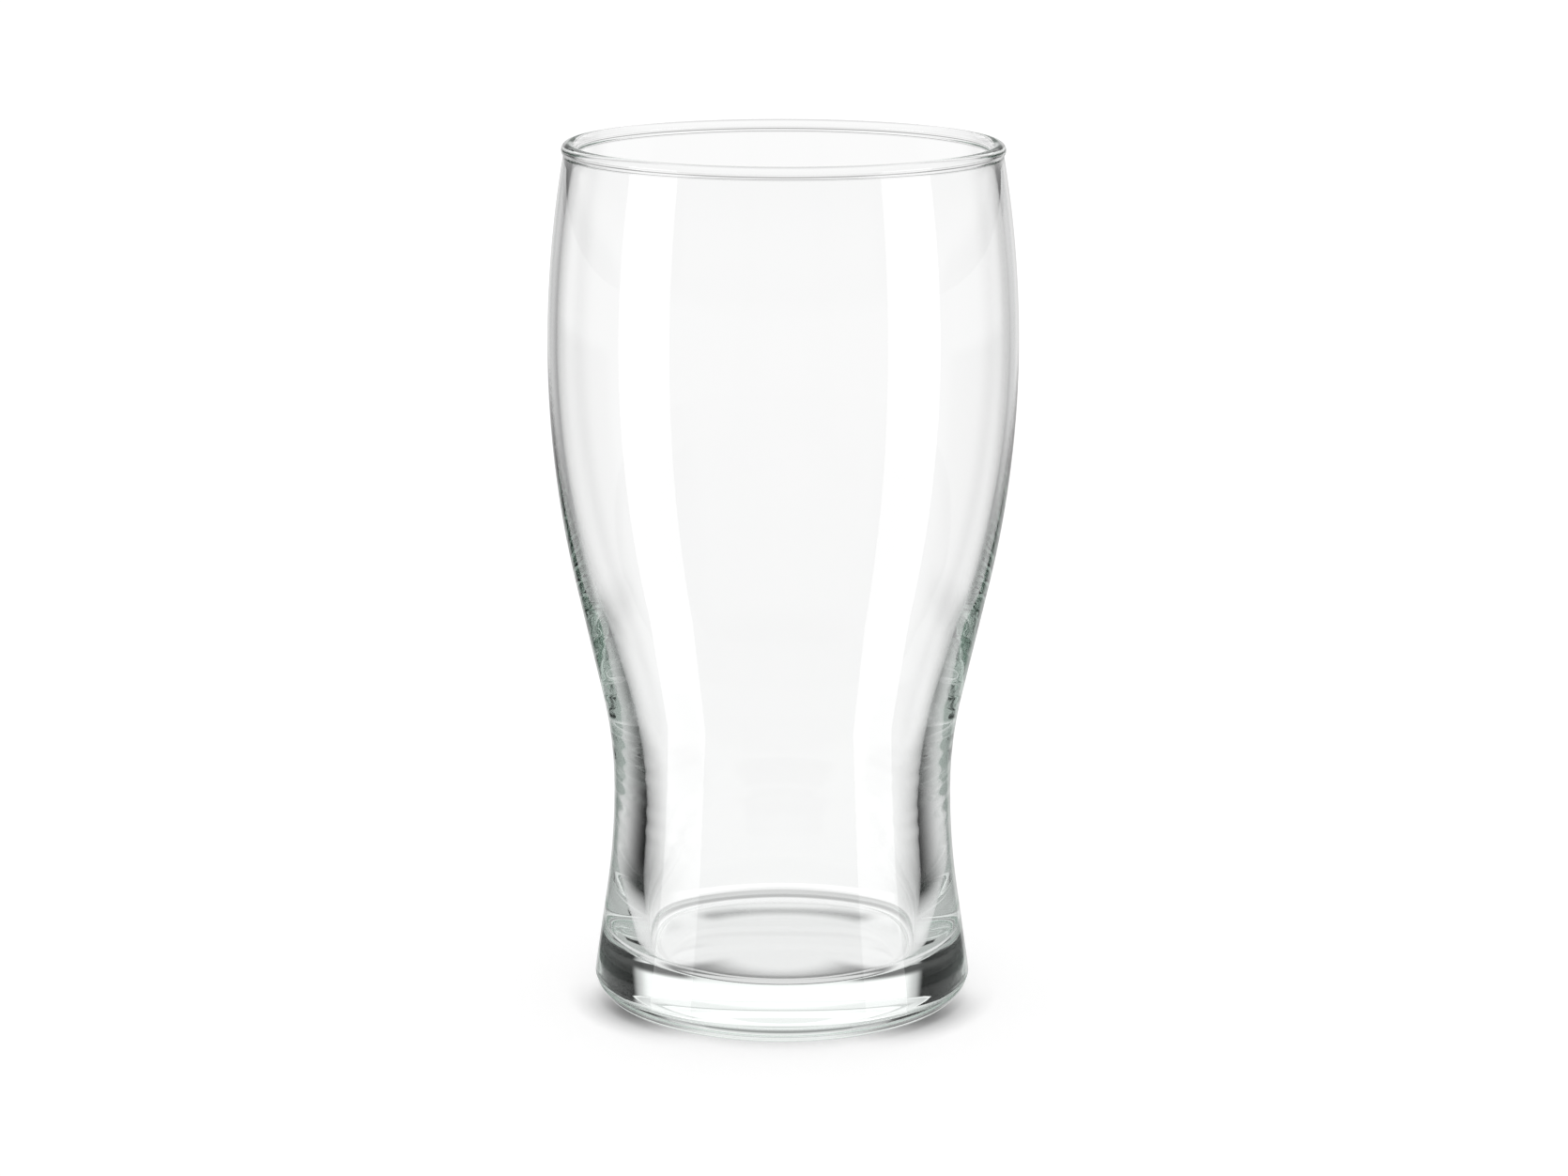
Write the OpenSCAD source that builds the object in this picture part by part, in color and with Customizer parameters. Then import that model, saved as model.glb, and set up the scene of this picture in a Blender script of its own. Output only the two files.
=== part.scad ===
/* [Overall] */
// Height from the table to the top of the rim
glass_h = 150; // [130:1:180]

/* [Bowl] */
// Outer diameter at the widest point of the bowl
belly_d = 80.6; // [76:0.2:92]
// Height of the widest point above the table
belly_z = 113.9; // [95:0.1:125]
// Wall thickness at the widest point
bowl_wall_t = 1.6; // [1.2:0.05:2.4]
// Radius of the outer bulge below the widest point, as a share of the largest that fits
bulge_share = 0.66; // [0.4:0.01:0.7]
// Radius of the inner bulge below the widest point, as a share of the largest that fits
cavity_bulge_share = 0.67; // [0.4:0.01:0.67]

/* [Rim] */
// Outer diameter over the rim bead
rim_d = 75.2; // [68:0.2:76]
// Thickness of the fire-polished rim bead
bead_d = 2.4; // [2.2:0.1:3.4]
// Wall thickness just under the bead
lip_wall_t = 1.9; // [1.4:0.05:2.1]
// Radius of the hollow where the bead runs out into the outer wall
bead_hollow_r = 0.7; // [0.3:0.1:1.5]

/* [Waist] */
// Outer diameter at the narrowest point
waist_d = 59; // [52:0.2:64]
// Height of the narrowest point above the table
waist_z = 37.7; // [30:0.1:48]
// Radius of the outer hollow above the waist, as a share of the largest that fits
waist_share = 0.27; // [0.1:0.01:0.3]
// Wall thickness at the waist
waist_wall_t = 5.5; // [3:0.1:7]
// Height of the narrowest point of the cavity above the table
cavity_waist_z = 33.3; // [26:0.1:44]
// Radius of the inner hollow above the waist, as a share of the largest that fits
cavity_waist_share = 0.32; // [0.1:0.01:0.32]

/* [Foot] */
// Outer diameter of the foot at its widest
foot_d = 66; // [65:0.2:76]
// Radius of the rounded heel under the foot
heel_r = 3.8; // [2:0.1:6]
// Radius of the flare below the waist, as a share of the largest that fits
flare_share = 0.79; // [0.5:0.01:0.85]
// Radius of the shoulder over the heel, as a share of the largest that fits
foot_share = 0.05; // [0.02:0.01:0.15]

/* [Base] */
// Height above the table of the cavity's widest point below its waist
cavity_foot_z = 16; // [13:0.1:20]
// Width that the cavity gains on each side from its waist to that point
cavity_flare_w = 0.8; // [0.3:0.05:1.5]
// Radius of the inner flare below the waist, as a share of the largest that fits
cavity_flare_share = 0.5; // [0.3:0.01:0.5]
// Radius of the inner bulge below that flare, as a share of the largest that fits
cavity_foot_share = 0.48; // [0.3:0.01:0.49]
// Height of the cavity floor above the table, at the axis
floor_z = 7.9; // [6:0.1:12]
// Radius of the shallow dish of the cavity floor
floor_dish_r = 600; // [150:5:900]
// Radius of the fillet between the cavity floor and wall
floor_fillet_r = 2.6; // [1.5:0.1:6]
// Width of the flat ring that the glass stands on
bearing_w = 2; // [1:0.1:5]
// Height of the push-up under the base, at the axis
push_up_h = 0.4; // [0.2:0.1:2]

/* [Hidden] */

// Straight sides in each arc of the section
arc_steps = 12;
// Facets in one turn about the axis
turn_steps = 180;
// Points of the section that are closer than this are one point
join_gap = 0.0001;

// The rim bead is flush with the inside of the wall and stands out from its outside
bead_r = bead_d / 2;
bead_c = [rim_d / 2 - bead_r, glass_h - bead_r];

// Outer form, from the heel to the bead
heel_c = [foot_d / 2 - heel_r, heel_r];
foot_p = [foot_d / 2, heel_r];
waist_p = [waist_d / 2, waist_z];
belly_p = [belly_d / 2, belly_z];
shoulder_c = upright_arc_centre(belly_p, bead_c + [lip_wall_t - bead_r, 0]);
shoulder_r = norm(belly_p - shoulder_c);
shoulder_hollow_r = abs(belly_p.x - shoulder_c.x + bead_hollow_r);
hollow_c = lower(meets(bead_c, bead_r + bead_hollow_r, shoulder_c, shoulder_hollow_r));

// Cavity, from the bead to the floor
cavity_belly_p = belly_p - [bowl_wall_t, 0];
cavity_waist_p = [waist_p.x - waist_wall_t, cavity_waist_z];
cavity_shoulder_c = upright_arc_centre(cavity_belly_p + [bead_r, 0], bead_c);
cavity_shoulder_r = norm(cavity_belly_p - cavity_shoulder_c);
lip_p = cavity_shoulder_c + cavity_shoulder_r * aim(cavity_shoulder_c, bead_c);
cavity_foot_p = [cavity_waist_p.x + cavity_flare_w, cavity_foot_z];
cavity_foot_r = cavity_foot_share * ogee_fit_r(cavity_waist_p, cavity_foot_p);
cavity_foot_c = cavity_foot_p - [cavity_foot_r, 0];
floor_p = [0, floor_z];
dish_c = floor_p + [0, floor_dish_r];
fillet_c =
    wider(meets(cavity_foot_c, cavity_foot_r - floor_fillet_r, dish_c, floor_dish_r - floor_fillet_r));

// Underside
bearing_p = [heel_c.x - bearing_w, 0];
push_up_p = [0, push_up_h];
push_up_c = push_up_p - [0, bearing_p * bearing_p + push_up_p * push_up_p] / (2 * push_up_h);

// Unit vector from one point to another
function aim(from, to) = (to - from) / norm(to - from);

// The points of a list in the other order
function reversed(points) = [for (i = [len(points) - 1:-1:0]) points[i]];

// The points of a list, each written once
function distinct(points) =
    [for (i = [0:len(points) - 1]) if (i == 0 || norm(points[i] - points[i - 1]) > join_gap) points[i]];

// Points of the arc about c from p to q, the short way round
function arc(c, p, q) =
    let (
        start = atan2(p.y - c.y, p.x - c.x),
        end = atan2(q.y - c.y, q.x - c.x),
        sweep = (end - start + 540) % 360 - 180
    )
    [for (i = [0:arc_steps])
        let (a = start + sweep * i / arc_steps)
        c + norm(p - c) * [cos(a), sin(a)]];

// A length to divide by, kept off zero
function off_zero(length) = abs(length) < join_gap ? join_gap : length;

// Centre of the arc that is upright at p and passes through q, on the side that q leans to
function upright_arc_centre(p, q) = p - [(q - p) * (q - p) / (2 * off_zero(p.x - q.x)), 0];

// The two points that are d1 away from c1 and d2 away from c2
function meets(c1, d1, c2, d2) =
    let (
        way = aim(c1, c2),
        gap = norm(c2 - c1),
        along = (gap * gap + d1 * d1 - d2 * d2) / (2 * gap),
        middle = c1 + along * way,
        aside = sqrt(d1 * d1 - along * along) * [way.y, -way.x]
    )
    [middle + aside, middle - aside];

// The lower of two points
function lower(points) = points[0].y < points[1].y ? points[0] : points[1];

// The one of two points that is farther out from the axis
function wider(points) = points[0].x > points[1].x ? points[0] : points[1];

// Sum of the radii of the largest pair of arcs that fits in a smooth S from its narrow to its wide end
function ogee_fit_r(narrow, wide) =
    let (rise = wide - narrow)
    rise * rise / (2 * off_zero(rise.x));

// Points of a smooth S that is upright at its narrow and its wide end: an arc about each end's side,
// with radii that are shares of the largest pair that fits, and the straight line that touches both
function ogee(narrow, wide, narrow_share, wide_share) =
    let (
        narrow_r = narrow_share * ogee_fit_r(narrow, wide),
        wide_r = wide_share * ogee_fit_r(narrow, wide),
        narrow_c = narrow + [narrow_r, 0],
        wide_c = wide - [wide_r, 0],
        way = wide_c - narrow_c,
        lean = atan2(way.y, way.x) + sign(wide.y - narrow.y) * acos((narrow_r + wide_r) / norm(way)),
        side = [cos(lean), sin(lean)]
    )
    concat(
        arc(narrow_c, narrow, narrow_c + narrow_r * side),
        arc(wide_c, wide_c - wide_r * side, wide)
    );

// Underside: the push-up, the flat bearing ring and the rounded heel
function underside() =
    concat(
        arc(push_up_c, push_up_p, bearing_p),
        arc(heel_c, [heel_c.x, 0], foot_p)
    );

// Outer side: the flared foot, the waist, the bowl and its shoulder
function outer_side() =
    concat(
        reversed(ogee(waist_p, foot_p, flare_share, foot_share)),
        ogee(waist_p, belly_p, waist_share, bulge_share),
        arc(shoulder_c, belly_p, shoulder_c + shoulder_r * aim(shoulder_c, hollow_c))
    );

// Rim: the small hollow under the bead and the bead, which runs smoothly into the inside of the bowl
function rim() =
    let (
        outer_p = shoulder_c + shoulder_r * aim(shoulder_c, hollow_c),
        bead_p = bead_c + bead_r * aim(bead_c, hollow_c),
        top_p = bead_c + [0, bead_r]
    )
    concat(
        arc(hollow_c, outer_p, bead_p),
        arc(bead_c, bead_p, top_p),
        arc(bead_c, top_p, lip_p)
    );

// Cavity: the inside of the bowl, its thick-walled waist, the bulge below that, the floor fillet and
// the dished floor
function cavity_side() =
    let (
        wall_p = cavity_foot_c + cavity_foot_r * aim(cavity_foot_c, fillet_c),
        dish_p = dish_c + floor_dish_r * aim(dish_c, fillet_c)
    )
    concat(
        arc(cavity_shoulder_c, lip_p, cavity_belly_p),
        reversed(ogee(cavity_waist_p, cavity_belly_p, cavity_waist_share, cavity_bulge_share)),
        ogee(cavity_waist_p, cavity_foot_p, cavity_flare_share, cavity_foot_share),
        arc(cavity_foot_c, cavity_foot_p, wall_p),
        arc(fillet_c, wall_p, dish_p),
        arc(dish_c, dish_p, floor_p)
    );

// One piece of clear pressed and blown glass, the same all round the axis
module tulip_glass() {
    color([0.86, 0.92, 0.9, 0.35])
        rotate_extrude($fn = turn_steps)
            polygon(distinct(concat(underside(), outer_side(), rim(), cavity_side())));
}

tulip_glass();
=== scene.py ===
"""Tulip beer glass: one piece of clear pressed and blown glass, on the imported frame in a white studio."""

import logging
import math
from dataclasses import dataclass
from enum import Enum

import bmesh
import bpy
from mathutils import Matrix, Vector


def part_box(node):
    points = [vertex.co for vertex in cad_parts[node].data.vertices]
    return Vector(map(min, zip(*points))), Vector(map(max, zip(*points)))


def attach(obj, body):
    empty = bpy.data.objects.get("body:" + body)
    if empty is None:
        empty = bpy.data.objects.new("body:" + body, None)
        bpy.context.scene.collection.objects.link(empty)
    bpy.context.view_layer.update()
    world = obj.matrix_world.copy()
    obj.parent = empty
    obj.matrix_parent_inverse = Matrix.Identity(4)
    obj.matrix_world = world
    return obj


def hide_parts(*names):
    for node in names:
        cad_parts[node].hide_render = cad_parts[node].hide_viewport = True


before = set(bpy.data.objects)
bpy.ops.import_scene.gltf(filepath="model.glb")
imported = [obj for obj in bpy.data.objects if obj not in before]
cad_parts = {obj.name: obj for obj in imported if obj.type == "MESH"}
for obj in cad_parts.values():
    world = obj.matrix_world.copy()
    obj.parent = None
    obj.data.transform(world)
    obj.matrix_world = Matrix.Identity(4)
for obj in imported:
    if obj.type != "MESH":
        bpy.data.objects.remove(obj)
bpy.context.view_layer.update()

MM = 0.001
JOIN_GAP = 1e-7
EDGE_LEAST = 1e-9
log = logging.getLogger("tulip_glass")

Colour = tuple[float, float, float, float]
Span = tuple[float, float]
Edges = tuple[float | None, float | None, float]
Wave = tuple[float, float, float]
Level = float | bpy.types.NodeSocket


class Kind(Enum):
    """Kinds of shader node that the materials and the world are made of."""

    MATH = "ShaderNodeMath"
    RANGE = "ShaderNodeMapRange"
    LIGHT_PATH = "ShaderNodeLightPath"
    COORDINATES = "ShaderNodeTexCoord"
    SPLIT = "ShaderNodeSeparateXYZ"
    VECTOR_MATH = "ShaderNodeVectorMath"
    MAPPING = "ShaderNodeMapping"
    NOISE = "ShaderNodeTexNoise"
    BUMP = "ShaderNodeBump"
    PRINCIPLED = "ShaderNodeBsdfPrincipled"
    ABSORPTION = "ShaderNodeVolumeAbsorption"
    DIFFUSE = "ShaderNodeBsdfDiffuse"
    OCCLUSION = "ShaderNodeAmbientOcclusion"
    SLANT = "ShaderNodeLayerWeight"
    EMISSION = "ShaderNodeEmission"
    ADD_SHADERS = "ShaderNodeAddShader"
    MIX_SHADERS = "ShaderNodeMixShader"
    BACKGROUND = "ShaderNodeBackground"
    SURFACE_OUTPUT = "ShaderNodeOutputMaterial"
    WORLD_OUTPUT = "ShaderNodeOutputWorld"


def linear(hex_colour: str) -> Colour:
    """Turn an sRGB hex colour into linear light.

    Args:
        hex_colour: six hex digits after a hash mark.

    Returns:
        Red, green, blue and an alpha of 1.
    """
    parts = [int(hex_colour[i:i + 2], 16) / 255 for i in (1, 3, 5)]
    red, green, blue = (p / 12.92 if p <= 0.04045 else ((p + 0.055) / 1.055) ** 2.4 for p in parts)
    return red, green, blue, 1.0


def add_node(
    tree: bpy.types.NodeTree, kind: Kind, inputs: dict[str | int, object], **settings: object
) -> bpy.types.Node:
    """Add one shader node with its settings and links.

    Args:
        tree: the node tree that gets the node.
        kind: which node it is.
        inputs: for each input's name or index, a value to set or an output socket to link.
        settings: properties of the node itself.

    Returns:
        The new node.
    """
    node = tree.nodes.new(kind.value)
    for name, value in settings.items():
        setattr(node, name, value)
    for key, value in inputs.items():
        if isinstance(value, bpy.types.NodeSocket):
            tree.links.new(value, node.inputs[key])
        else:
            node.inputs[key].default_value = value
    return node


def fresh_tree(owner: bpy.types.ID) -> bpy.types.NodeTree:
    """Give a material or world an empty node tree and return it."""
    owner.use_nodes = True
    owner.node_tree.nodes.clear()
    return owner.node_tree


@dataclass(frozen=True)
class SodaLimeGlass:
    """Clear soda-lime glass, pressed, blown and fire polished. Sizes are in millimetres.

    It gives the eye a mirror-smooth clear skin with a slow waviness from the mould, a faint green cast where
    light runs a long way through the thick waist and foot, and a ring under the base that tables rub dull.
    """

    name: str = "soda_lime_glass_fire_polished"
    ior: float = 1.52
    tint: str = "#b9dccb"
    tint_density: float = 2.5
    wave_spacing: float = 9.0
    wave_height: float = 0.0015
    wave_stretch: tuple[float, float, float] = (0.6, 0.6, 1.0)
    wave_detail: float = 1.0
    rub_spacing: float = 0.5
    rub_detail: float = 3.0
    rub_share: Span = (0.4, 0.7)
    rub_height: float = 0.005
    rub_roughness: float = 0.2

    def material(self) -> bpy.types.Material:
        """Make the glass.

        Returns:
            The new material.
        """
        glass = bpy.data.materials.new(self.name)
        tree = fresh_tree(glass)
        place = add_node(tree, Kind.COORDINATES, {}).outputs["Object"]
        # The mould leaves waves that are longer round the glass than up it
        flow = add_node(tree, Kind.MAPPING, {"Vector": place, "Scale": self.wave_stretch})
        waves = add_node(tree, Kind.NOISE, {
            "Vector": flow.outputs["Vector"],
            "Scale": 1 / (self.wave_spacing * MM),
            "Detail": self.wave_detail,
        })
        skin = add_node(tree, Kind.BUMP, {"Height": waves.outputs["Fac"], "Distance": self.wave_height * MM})
        # Fine rubs on the ring, and none above it
        rubs = add_node(tree, Kind.NOISE, {
            "Vector": place,
            "Scale": 1 / (self.rub_spacing * MM),
            "Detail": self.rub_detail,
        })
        rubbed = add_node(tree, Kind.RANGE, {
            "Value": rubs.outputs["Fac"],
            "From Min": self.rub_share[0],
            "From Max": self.rub_share[1],
            "To Max": self.rub_roughness,
        })
        height = add_node(tree, Kind.SPLIT, {"Vector": place}).outputs["Z"]
        dull = add_node(tree, Kind.RANGE, {
            "Value": height,
            "From Min": 0.0,
            "From Max": self.rub_height * MM,
            "To Min": rubbed.outputs["Result"],
            "To Max": 0.0,
        })
        surface = add_node(tree, Kind.PRINCIPLED, {
            "Base Color": linear("#ffffff"),
            "Roughness": dull.outputs["Result"],
            "IOR": self.ior,
            "Transmission Weight": 1.0,
            "Normal": skin.outputs["Normal"],
        })
        body = add_node(tree, Kind.ABSORPTION, {"Color": linear(self.tint), "Density": self.tint_density})
        add_node(tree, Kind.SURFACE_OUTPUT, {
            "Surface": surface.outputs["BSDF"],
            "Volume": body.outputs["Volume"],
        })
        return glass


@dataclass
class TulipGlass:
    """The glass, turned from one section. All sizes are in millimetres.

    Each of the ripples is a length, a share of the height and a phase.
    """

    node: str = "tulip_glass"
    slot: str = "clear_glass"
    body: str = "root"
    belly_z: float = 113.9
    bowl_wall_t: float = 1.6
    bulge_share: float = 0.66
    cavity_bulge_share: float = 0.636
    rim_d: float = 75.2
    bead_d: float = 2.4
    lip_wall_t: float = 1.9
    bead_hollow_r: float = 0.7
    waist_d: float = 59.0
    waist_z: float = 37.7
    waist_share: float = 0.27
    waist_wall_t: float = 5.25
    cavity_waist_z: float = 32.74
    cavity_waist_share: float = 0.326
    foot_d: float = 66.0
    heel_r: float = 3.8
    flare_share: float = 0.79
    foot_share: float = 0.05
    cavity_foot_z: float = 16.0
    cavity_flare_w: float = 0.55
    cavity_flare_share: float = 0.5
    cavity_foot_share: float = 0.48
    floor_z: float = 7.9
    floor_dish_r: float = 600.0
    floor_fillet_r: float = 2.6
    bearing_w: float = 2.0
    push_up_h: float = 0.4
    ridge_z: float = 3.5
    ridge_w: float = 0.6
    ridge_h: float = 0.1
    ridge_steps: int = 10
    ripple_zone: Span = (27.0, 50.0)
    ripple_fade: float = 8.0
    ripple_h: float = 0.007
    ripple_waves: tuple[Wave, ...] = ((3.1, 1.0, 0.0), (4.3, 0.8, 1.0), (7.7, 0.6, 2.0))
    floor_ripple_r: float = 10.0
    floor_ripple_h: float = 0.004
    floor_ripple_spacing: float = 2.2
    step: float = 1.3
    fine_step: float = 0.5
    step_angle: float = 6.0
    least_steps: int = 3
    turn_steps: int = 180

    def __post_init__(self) -> None:
        """Take the height and widest diameter from the frame, and place the points that arcs share."""
        low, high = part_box(self.node)
        self.glass_h = (high[2] - low[2]) / MM
        self.belly_d = (high[0] - low[0]) / MM
        self.bead_r = self.bead_d / 2
        self.bead_c = Vector((self.rim_d / 2 - self.bead_r, self.glass_h - self.bead_r))
        self.heel_c = Vector((self.foot_d / 2 - self.heel_r, self.heel_r))
        self.foot_p = Vector((self.foot_d / 2, self.heel_r))
        self.waist_p = Vector((self.waist_d / 2, self.waist_z))
        self.belly_p = Vector((self.belly_d / 2, self.belly_z))
        self.cavity_belly_p = self.belly_p - Vector((self.bowl_wall_t, 0))
        self.cavity_waist_p = Vector((self.waist_p.x - self.waist_wall_t, self.cavity_waist_z))
        self.cavity_foot_p = Vector((self.cavity_waist_p.x + self.cavity_flare_w, self.cavity_foot_z))

    def arc(self, centre: Vector, start: Vector, end: Vector, step: float) -> list[Vector]:
        """Points of an arc the short way round.

        Args:
            centre: the arc's centre.
            start: its first point.
            end: its last point.
            step: the longest distance between two points.

        Returns:
            The points, both ends among them.
        """
        radius = (start - centre).length
        first = math.atan2(start.y - centre.y, start.x - centre.x)
        last = math.atan2(end.y - centre.y, end.x - centre.x)
        sweep = (last - first + 3 * math.pi) % (2 * math.pi) - math.pi
        turns = abs(math.degrees(sweep)) / self.step_angle
        steps = math.ceil(max(abs(sweep) * radius / step, turns, self.least_steps))
        angles = [first + sweep * i / steps for i in range(steps + 1)]
        return [centre + radius * Vector((math.cos(a), math.sin(a))) for a in angles]

    @staticmethod
    def ogee_fit_r(narrow: Vector, wide: Vector) -> float:
        """Sum of the radii of the largest pair of arcs that fits in a smooth S between two points."""
        return (wide - narrow).length_squared / (2 * (wide.x - narrow.x))

    def ogee(self, narrow: Vector, wide: Vector, shares: Span, step: float) -> list[Vector]:
        """Points of a smooth S that is upright at both ends.

        Args:
            narrow: the end nearer the axis.
            wide: the end further from the axis.
            shares: radius at the narrow and the wide end, as shares of the largest pair of arcs that fits.
            step: the longest distance between two points.

        Returns:
            The points from the narrow end to the wide end.
        """
        narrow_r, wide_r = (share * self.ogee_fit_r(narrow, wide) for share in shares)
        narrow_c = narrow + Vector((narrow_r, 0))
        wide_c = wide - Vector((wide_r, 0))
        way = wide_c - narrow_c
        turn = math.acos((narrow_r + wide_r) / way.length)
        lean = math.atan2(way.y, way.x) + math.copysign(turn, wide.y - narrow.y)
        side = Vector((math.cos(lean), math.sin(lean)))
        first = self.arc(narrow_c, narrow, narrow_c + narrow_r * side, step)
        last = self.arc(wide_c, wide_c - wide_r * side, wide, step)
        count = math.ceil((last[0] - first[-1]).length / step)
        middle = [first[-1].lerp(last[0], i / count) for i in range(1, count)]
        return first + middle + last

    @staticmethod
    def meet(first: Vector, first_r: float, second: Vector, second_r: float) -> Vector:
        """Lower of the two points at given distances from two centres.

        Args:
            first: one centre.
            first_r: distance from it.
            second: the other centre.
            second_r: distance from that.

        Returns:
            The point.
        """
        gap = (second - first).length
        way = (second - first) / gap
        along = (gap ** 2 + first_r ** 2 - second_r ** 2) / (2 * gap)
        aside = math.copysign(math.sqrt(first_r ** 2 - along ** 2), way.x)
        return first + along * way + aside * Vector((way.y, -way.x))

    @staticmethod
    def upright_arc_centre(start: Vector, end: Vector) -> Vector:
        """Centre of the arc that is upright at its start and ends nearer the axis."""
        return start - Vector(((end - start).length_squared / (2 * (start.x - end.x)), 0))

    def ridge(self, points: list[Vector]) -> list[Vector]:
        """Raise the fine ridge of the mould's parting line round the heel.

        Args:
            points: the points of the heel's arc.

        Returns:
            The points with the ridge in place of those that it covers.
        """
        low = self.ridge_z - self.ridge_w / 2
        raised = []
        for share in (i / self.ridge_steps for i in range(self.ridge_steps + 1)):
            z = low + self.ridge_w * share
            x = self.heel_c.x + math.sqrt(self.heel_r ** 2 - (self.heel_r - z) ** 2)
            raised.append(Vector((x + self.ridge_h * (1 - math.cos(2 * math.pi * share)) / 2, z)))
        return [p for p in points if p.y < low] + raised + [p for p in points if p.y > low + self.ridge_w]

    def ripple(self, z: float) -> float:
        """How far the level chill ripples of the waist stand out at a height.

        Args:
            z: height above the table.

        Returns:
            Distance outwards, which may be negative.
        """
        low, high = self.ripple_zone
        reach = min(max(min(z - low, high - z) / self.ripple_fade, 0), 1)
        fade = reach ** 2 * (3 - 2 * reach)
        waves = (
            share * math.sin(2 * math.pi * z / length + phase) for length, share, phase in self.ripple_waves
        )
        return self.ripple_h * fade * sum(waves)

    def underside(self) -> list[Vector]:
        """Points of the push-up, the flat bearing ring and the rounded heel with its ridge.

        Returns:
            The points, from the axis out.
        """
        bearing_p = Vector((self.heel_c.x - self.bearing_w, 0))
        push_up_p = Vector((0, self.push_up_h))
        push_up_r = (bearing_p.x ** 2 + self.push_up_h ** 2) / (2 * self.push_up_h)
        heel = self.arc(self.heel_c, Vector((self.heel_c.x, 0)), self.foot_p, self.fine_step)
        push_up_c = push_up_p - Vector((0, push_up_r))
        return self.arc(push_up_c, push_up_p, bearing_p, self.step) + self.ridge(heel)

    def outer_side(self) -> list[Vector]:
        """Points of the flared foot, the rippled waist, the bowl and its shoulder, up to the bead.

        Returns:
            The points, from the foot up.
        """
        foot = self.ogee(self.waist_p, self.foot_p, (self.flare_share, self.foot_share), self.fine_step)
        bowl = self.ogee(self.waist_p, self.belly_p, (self.waist_share, self.bulge_share), self.fine_step)
        side = [p + Vector((self.ripple(p.y), 0)) for p in foot[::-1] + bowl]
        lip_p = self.bead_c + Vector((self.lip_wall_t - self.bead_r, 0))
        shoulder_c = self.upright_arc_centre(self.belly_p, lip_p)
        shoulder_r = self.belly_p.x - shoulder_c.x
        reach = self.bead_r + self.bead_hollow_r
        hollow_c = self.meet(self.bead_c, reach, shoulder_c, shoulder_r + self.bead_hollow_r)
        shoulder_p = shoulder_c + shoulder_r * (hollow_c - shoulder_c).normalized()
        bead_p = self.bead_c + self.bead_r * (hollow_c - self.bead_c).normalized()
        side += self.arc(shoulder_c, self.belly_p, shoulder_p, self.step)
        return side + self.arc(hollow_c, shoulder_p, bead_p, self.step)

    def cavity_side(self, bead_p: Vector) -> list[Vector]:
        """Points over the rim bead, down the inside of the bowl and waist, and across the dished floor.

        Args:
            bead_p: where the outer side meets the bead.

        Returns:
            The points, from the bead to the axis.
        """
        top_p = self.bead_c + Vector((0, self.bead_r))
        shoulder_c = self.upright_arc_centre(self.cavity_belly_p + Vector((self.bead_r, 0)), self.bead_c)
        shoulder_r = self.cavity_belly_p.x - shoulder_c.x
        shoulder_p = shoulder_c + shoulder_r * (self.bead_c - shoulder_c).normalized()
        points = self.arc(self.bead_c, bead_p, top_p, self.step)
        points += self.arc(self.bead_c, top_p, shoulder_p, self.step)
        points += self.arc(shoulder_c, shoulder_p, self.cavity_belly_p, self.step)
        shares = (self.cavity_waist_share, self.cavity_bulge_share)
        points += self.ogee(self.cavity_waist_p, self.cavity_belly_p, shares, self.step)[::-1]

        dish_r, fillet_r = self.floor_dish_r, self.floor_fillet_r
        foot_r = self.cavity_foot_share * self.ogee_fit_r(self.cavity_waist_p, self.cavity_foot_p)
        foot_c = self.cavity_foot_p - Vector((foot_r, 0))
        dish_c = Vector((0, self.floor_z + dish_r))
        fillet_c = self.meet(foot_c, foot_r - fillet_r, dish_c, dish_r - fillet_r)
        wall_p = foot_c + foot_r * (fillet_c - foot_c).normalized()
        dish_p = dish_c + dish_r * (fillet_c - dish_c).normalized()
        shares = (self.cavity_flare_share, self.cavity_foot_share)
        points += self.ogee(self.cavity_waist_p, self.cavity_foot_p, shares, self.step)
        points += self.arc(foot_c, self.cavity_foot_p, wall_p, self.step)
        points += self.arc(fillet_c, wall_p, dish_p, self.fine_step)
        for p in self.arc(dish_c, dish_p, Vector((0, self.floor_z)), self.fine_step):
            fade = max(1 - p.x / self.floor_ripple_r, 0) ** 2
            wave = math.cos(2 * math.pi * p.x / self.floor_ripple_spacing)
            points.append(p + Vector((0, self.floor_ripple_h * fade * wave)))
        return points

    def build(self) -> bpy.types.Object:
        """Turn the section into the glass.

        Returns:
            The new object.
        """
        outside = self.underside() + self.outer_side()
        section = outside + self.cavity_side(outside[-1])
        shape = bmesh.new()
        ring = [shape.verts.new((p.x * MM, 0, p.y * MM)) for p in section]
        pairs = [(a, b) for a, b in zip(ring, ring[1:]) if (a.co - b.co).length > EDGE_LEAST]
        edges = [shape.edges.new(pair) for pair in pairs]
        bmesh.ops.spin(shape, geom=ring + edges, axis=(0, 0, 1), cent=(0, 0, 0), angle=2 * math.pi,
                       steps=self.turn_steps, use_merge=True, use_duplicate=False)
        bmesh.ops.remove_doubles(shape, verts=shape.verts, dist=JOIN_GAP)
        bmesh.ops.recalc_face_normals(shape, faces=shape.faces)
        mesh = bpy.data.meshes.new("tulip_glass_turned")
        shape.to_mesh(mesh)
        shape.free()
        mesh.shade_smooth()
        piece = bpy.data.objects.new("tulip_glass_turned", mesh)
        bpy.context.collection.objects.link(piece)
        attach(piece, self.body)
        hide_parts(self.node)
        log.info("turned %s: %d faces", piece.name, len(mesh.polygons))
        return piece

    def dress(self, piece: bpy.types.Object, finish: SodaLimeGlass) -> None:
        """Give the glass its material.

        Args:
            piece: the turned glass.
            finish: what it is made of.
        """
        piece.data.materials.append(finish.material())


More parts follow.
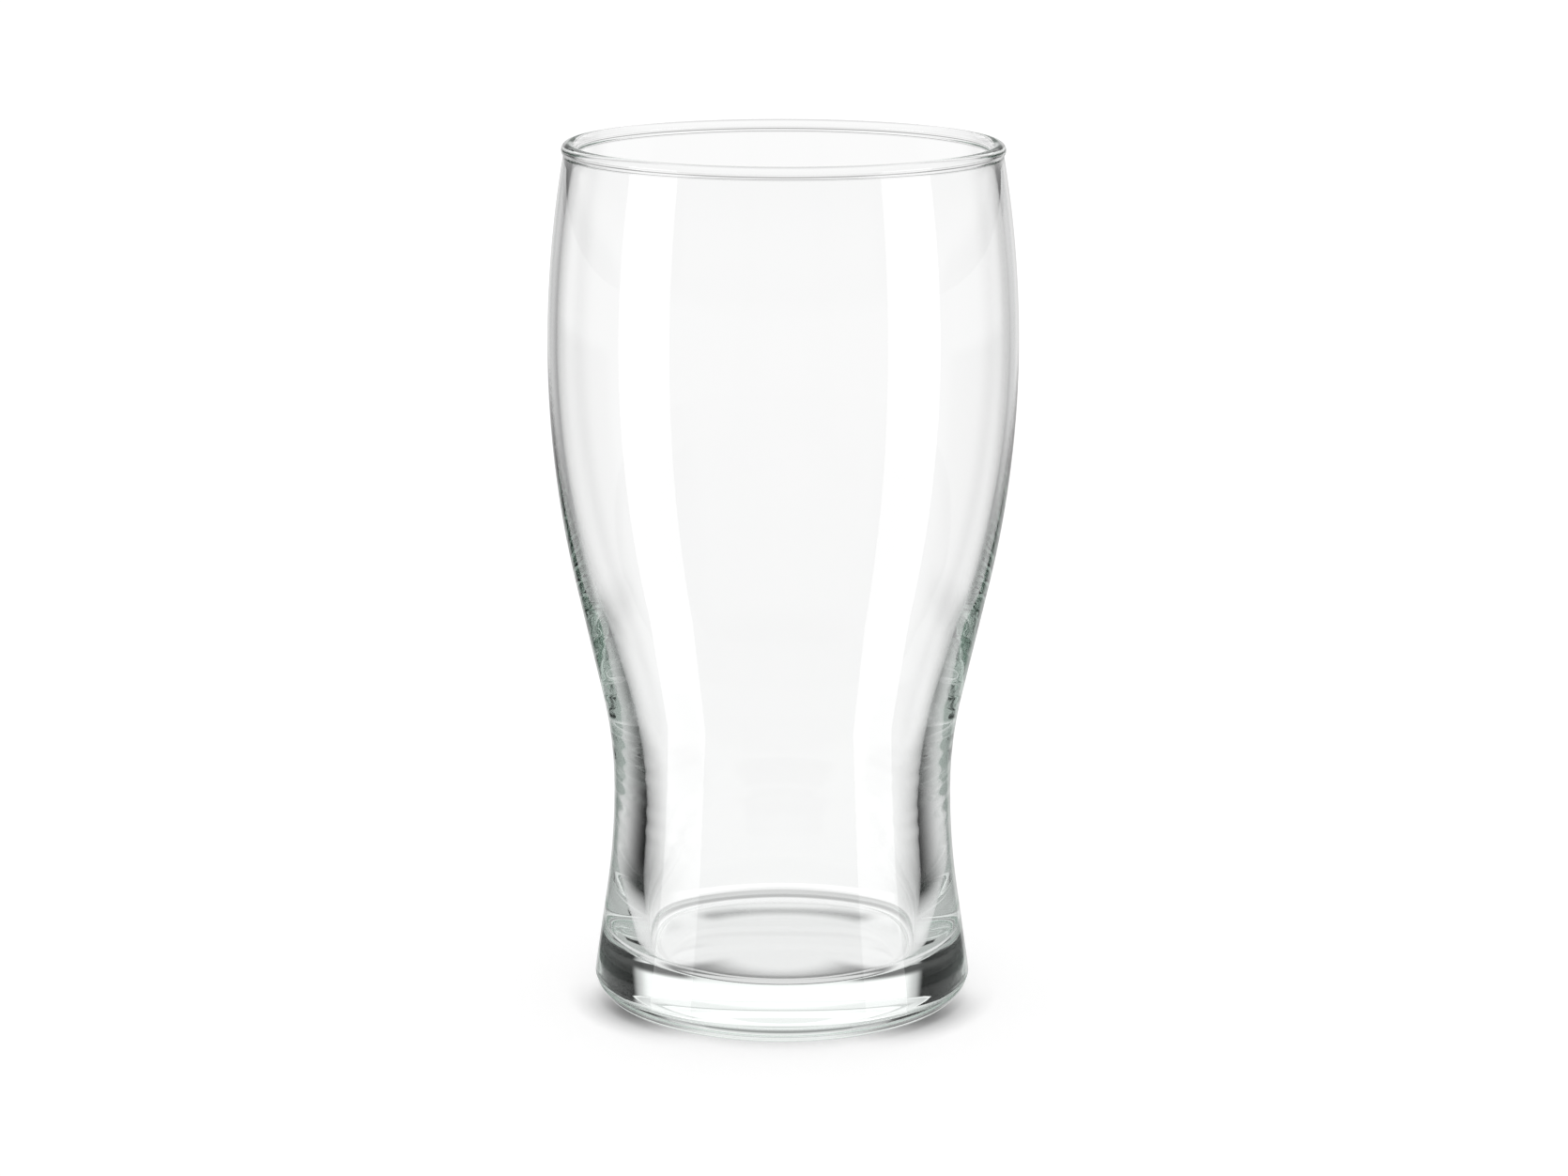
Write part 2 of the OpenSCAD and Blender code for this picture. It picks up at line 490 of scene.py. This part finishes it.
class Measure(Enum):
    """Measures that say where in the room or on the table a ray ends."""

    ASIDE = "angle to either side of the middle of the backdrop"
    RISE = "angle above level"
    REACH = "distance from the axis of the glass"
    SLANT = "0 for a ray that falls straight on the table, 1 for one that skims it"
    MIRRORED = "1 for a ray that the outside of the glass throws back, 0 for one that came through it"

    @property
    def unit(self) -> float:
        """One degree, millimetre or whole in the units of the scene."""
        if self in (Measure.ASIDE, Measure.RISE):
            return math.radians(1)
        return MM if self is Measure.REACH else 1.0


@dataclass(frozen=True)
class Panel:
    """A lit or dark area of the room or the table that shows in the glass.

    For each measure, its edges are a low and a high value, or None for a side that has no edge, and the width
    over which both fade, in degrees, millimetres or shares of a whole.
    """

    name: str
    level: float
    edges: dict[Measure, Edges]

    def lay(
        self, tree: bpy.types.NodeTree, place: dict[Measure, bpy.types.NodeSocket], under: Level
    ) -> bpy.types.NodeSocket:
        """Lay the panel over what is there.

        Args:
            tree: the node tree of the room or the table.
            place: sockets that give the measures of a ray's end.
            under: light level without the panel, as a number or a socket.

        Returns:
            The light level with the panel.
        """
        cover = 1.0
        for measure, (low, high, soft) in self.edges.items():
            for edge, inward in ((low, True), (high, False)):
                if edge is None:
                    continue
                step = add_node(tree, Kind.RANGE, {
                    "Value": place[measure],
                    "From Min": (edge - soft / 2) * measure.unit,
                    "From Max": (edge + soft / 2) * measure.unit,
                    "To Min": 0.0 if inward else cover,
                    "To Max": cover if inward else 0.0,
                }, interpolation_type="SMOOTHSTEP")
                cover = step.outputs["Result"]
        ends = {"Value": cover, "To Min": under, "To Max": self.level}
        shade = add_node(tree, Kind.RANGE, ends, label=self.name)
        return shade.outputs["Result"]


@dataclass
class Studio:
    """White studio: a pale table and even light, with room panels and painted table light and shade that the
    glass shows.

    The table's size is in metres, the air film under the glass and the reach of the painted contact shadow
    are in millimetres, and the angle that the studio is turned by is in degrees.
    """

    bounces: int = 72
    floor_size: float = 12.0
    floor_colour: str = "#b0b0b0"
    floor_lift: float = 0.66
    air_film: float = 0.05
    # Painted contact shadow: occlusion reach, where it is darkest, samples, painted fill light in it, painted
    # shade beside the front
    painted_shadow_reach: float = 6.5
    painted_shadow_share: float = 0.4
    painted_shadow_samples: int = 16
    painted_shadow_fill: float = 0.63
    painted_shade_beside_front: Panel = Panel("painted shade beside the front", 0.05, {Measure.ASIDE: (103, 140, 36)})
    turn: float = 2.4
    room_level: float = 0.57
    room: tuple[Panel, ...] = (
        Panel("backdrop", 0.94, {Measure.ASIDE: (None, 18, 14), Measure.RISE: (0, None, 2)}),
        Panel("dim wall beside it", 0.37, {Measure.ASIDE: (24, 56, 9), Measure.RISE: (0, 17.8, 0.8)}),
        Panel("strip at table height", 0.82, {Measure.ASIDE: (48, 99, 8), Measure.RISE: (0, 3.8, 7)}),
        Panel("low front wall", 0.76, {Measure.ASIDE: (128, None, 14), Measure.RISE: (0, 11, 14)}),
        Panel("rail behind", 0.35, {Measure.ASIDE: (None, 26, 8), Measure.RISE: (6.8, 12.5, 3)}),
        Panel("rail beside", 0.03, {Measure.ASIDE: (27, 52, 8), Measure.RISE: (3.8, 11, 3)}),
        Panel("bright backdrop", 1.12, {Measure.ASIDE: (None, 35, 6), Measure.RISE: (17.9, 21.2, 0.8)}),
        Panel("side flag", 0.0, {Measure.ASIDE: (39, 85, 4), Measure.RISE: (16.5, 23, 3)}),
        Panel("thin flag", 0.05, {Measure.ASIDE: (18, 60, 6), Measure.RISE: (15.8, 17.8, 0.8)}),
        Panel("ceiling", 0.9, {Measure.RISE: (46, None, 14)}),
        Panel("low flag", 0.0, {Measure.ASIDE: (21, 90, 10), Measure.RISE: (-43, 0, 6)}),
        Panel("mirrored strip", 0.5, {Measure.ASIDE: (46, 95, 14), Measure.RISE: (-7.5, 0, 1.5)}),
        Panel("mirrored front", 0.82, {Measure.ASIDE: (126, None, 6), Measure.RISE: (-37, 0, 4)}),
        Panel("soft box", 2.4, {
            Measure.ASIDE: (96.3, 126.3, 0.8),
            Measure.RISE: (-55, 12, 5),
            Measure.MIRRORED: (0.5, None, 0.1),
        }),
    )
    # Painted light and shade on the table, seen only through the glass: shade under and round the foot, dark
    # sides, dim and bright strips
    table_level: float = 0.98
    table: tuple[Panel, ...] = (
        Panel("dark side", 0.0, {
            Measure.ASIDE: (48, None, 48),
            Measure.REACH: (56, 150, 34),
            Measure.SLANT: (0.42, 0.77, 0.08),
        }),
        Panel("sides and front", 0.84, {Measure.ASIDE: (92, None, 14)}),
        Panel("far dim strip", 0.45, {Measure.ASIDE: (31, 47, 17), Measure.REACH: (149, None, 22)}),
        Panel("near front", 0.73, {Measure.ASIDE: (136.5, None, 9), Measure.REACH: (46.5, 77.7, 1)}),
        Panel("bright strip behind", 1.2, {Measure.ASIDE: (None, 34, 20), Measure.REACH: (43.3, 50.5, 1.5)}),
        Panel("shaded ring", 0.46, {Measure.ASIDE: (None, 75, 70), Measure.REACH: (33, 39, 4)}),
        Panel("under the base", 0.82, {Measure.REACH: (None, 25, 6)}),
        Panel("under the front", 0.12, {Measure.ASIDE: (121, None, 14), Measure.REACH: (13.5, 33, 9)}),
        Panel("under the back", 0.1, {Measure.ASIDE: (None, 47, 14), Measure.REACH: (20.2, 24.5, 5)}),
        # Painted sheen: the table is darker seen from straight above than at a skim
        Panel("seen from above", 0.74, {Measure.SLANT: (None, 0.27, 0.2)}),
    )

    def build(self) -> None:
        """Lay the table and light the room."""
        self.lay_table()
        self.light_room()
        paths = bpy.context.scene.cycles
        paths.max_bounces = self.bounces
        paths.glossy_bounces = self.bounces
        paths.transmission_bounces = self.bounces

    def turned(self, tree: bpy.types.NodeTree, place: bpy.types.NodeSocket) -> bpy.types.NodeSocket:
        """Turn a place or a direction by the angle that the studio stands at to the camera."""
        rig = add_node(tree, Kind.MAPPING, {"Vector": place, "Rotation": (0, 0, math.radians(self.turn))})
        return rig.outputs["Vector"]

    @staticmethod
    def aside(tree: bpy.types.NodeTree, part: bpy.types.Node) -> bpy.types.NodeSocket:
        """Measure the angle to either side of the middle of the backdrop.

        Args:
            tree: the node tree of the room or the table.
            part: the node that splits a turned place or direction.

        Returns:
            The angle, in radians.
        """
        across = add_node(tree, Kind.MATH, {0: part.outputs["X"]}, operation="ABSOLUTE")
        ends = {0: across.outputs["Value"], 1: part.outputs["Y"]}
        return add_node(tree, Kind.MATH, ends, operation="ARCTAN2").outputs["Value"]

    def lay_table(self) -> None:
        """Make the pale table: the camera sees its white with real and painted shadow, and the glass sees
        painted light and shade on it.
        """
        shape = bmesh.new()
        bmesh.ops.create_grid(shape, x_segments=1, y_segments=1, size=self.floor_size / 2)
        bmesh.ops.translate(shape, verts=shape.verts, vec=(0, 0, -self.air_film * MM))
        mesh = bpy.data.meshes.new("studio_table")
        shape.to_mesh(mesh)
        shape.free()
        top = bpy.data.objects.new("studio_table", mesh)
        bpy.context.collection.objects.link(top)
        top.visible_glossy = False
        paint = bpy.data.materials.new("matt_white_paper")
        tree = fresh_tree(paint)
        path = add_node(tree, Kind.LIGHT_PATH, {})
        spot = self.turned(tree, add_node(tree, Kind.COORDINATES, {}).outputs["Object"])
        part = add_node(tree, Kind.SPLIT, {"Vector": spot})
        reach = add_node(tree, Kind.VECTOR_MATH, {0: spot}, operation="LENGTH")
        slant = add_node(tree, Kind.SLANT, {"Blend": 0.5})
        place = {
            Measure.ASIDE: self.aside(tree, part),
            Measure.REACH: reach.outputs["Value"],
            Measure.SLANT: slant.outputs["Facing"],
        }

        # Painted shadow where the heel meets the table, mostly to the left and right of the front; occlusion
        # dims the white glow
        painted_shadow_occlusion = add_node(tree, Kind.OCCLUSION, {"Distance": self.painted_shadow_reach * MM}, samples=self.painted_shadow_samples)
        lift = add_node(tree, Kind.RANGE, {
            "Value": painted_shadow_occlusion.outputs["AO"],
            "From Min": self.painted_shadow_share,
            "To Min": self.painted_shade_beside_front.lay(tree, place, self.painted_shadow_fill),
            "To Max": self.floor_lift,
        })
        paper = add_node(tree, Kind.DIFFUSE, {"Color": linear(self.floor_colour)})
        glow = add_node(tree, Kind.EMISSION, {"Strength": lift.outputs["Result"]})
        white = add_node(tree, Kind.ADD_SHADERS, {0: paper.outputs["BSDF"], 1: glow.outputs["Emission"]})

        # Painted patches of light and shade that rays through the glass see in place of the table's own
        # shading
        level = self.table_level
        for patch in self.table:
            level = patch.lay(tree, place, level)
        patches = add_node(tree, Kind.EMISSION, {"Strength": level})
        both = add_node(tree, Kind.MIX_SHADERS, {
            0: path.outputs["Is Camera Ray"],
            1: patches.outputs["Emission"],
            2: white.outputs["Shader"],
        })
        add_node(tree, Kind.SURFACE_OUTPUT, {"Surface": both.outputs["Shader"]})
        mesh.materials.append(paint)

    def light_room(self) -> None:
        """Light the table evenly, and show the panels to rays that have met the glass."""
        world = bpy.data.worlds.new("studio_room")
        bpy.context.scene.world = world
        tree = fresh_tree(world)
        path = add_node(tree, Kind.LIGHT_PATH, {})
        view = self.turned(tree, add_node(tree, Kind.COORDINATES, {}).outputs["Generated"])
        part = add_node(tree, Kind.SPLIT, {"Vector": view})
        rise = add_node(tree, Kind.MATH, {0: part.outputs["Z"]}, operation="ARCSINE")
        place = {
            Measure.ASIDE: self.aside(tree, part),
            Measure.RISE: rise.outputs["Value"],
            Measure.MIRRORED: path.outputs["Is Reflection Ray"],
        }
        shown = self.room_level
        for panel in self.room:
            shown = panel.lay(tree, place, shown)
        plain = add_node(tree, Kind.MATH, {
            0: path.outputs["Is Camera Ray"],
            1: path.outputs["Is Diffuse Ray"],
        }, operation="MAXIMUM")
        level = add_node(tree, Kind.RANGE, {"Value": plain.outputs["Value"], "To Min": shown, "To Max": 1.0})
        light = add_node(tree, Kind.BACKGROUND, {
            "Color": linear("#ffffff"),
            "Strength": level.outputs["Result"],
        })
        add_node(tree, Kind.WORLD_OUTPUT, {"Surface": light.outputs["Background"]})


@dataclass
class PhotoCamera:
    """Camera at the photograph's viewing angle. Places are in millimetres."""

    distance: float = 635.0
    height: float = 220.37
    aim_x: float = 0.22
    aim_z: float = 72.51
    focal_px: float = 3995.7
    frame_px: float = 1670.0
    sensor: float = 36.0
    roll: float = 0.117
    near: float = 10.0

    def build(self) -> None:
        """Make the camera and look through it."""
        data = bpy.data.cameras.new("photo_camera")
        data.sensor_fit = "HORIZONTAL"
        data.sensor_width = self.sensor
        data.lens = self.sensor * self.focal_px / self.frame_px
        data.clip_start = self.near * MM
        camera = bpy.data.objects.new("photo_camera", data)
        bpy.context.collection.objects.link(camera)
        place = Vector((0, -self.distance, self.height)) * MM
        aim = Vector((self.aim_x, 0, self.aim_z)) * MM
        turn = (aim - place).to_track_quat("-Z", "Y")
        camera.location = place
        camera.rotation_euler = turn.to_euler()
        camera.rotation_euler.rotate_axis("Z", math.radians(self.roll))
        bpy.context.scene.camera = camera


def main() -> None:
    """Build the glass, the studio and the camera."""
    logging.basicConfig(level=logging.INFO)
    bpy.context.scene.view_settings.view_transform = "Standard"
    PhotoCamera().build()
    Studio().build()
    glass = TulipGlass()
    piece = glass.build()
    glass.dress(piece, SodaLimeGlass())


if __name__ == "__main__":
    main()
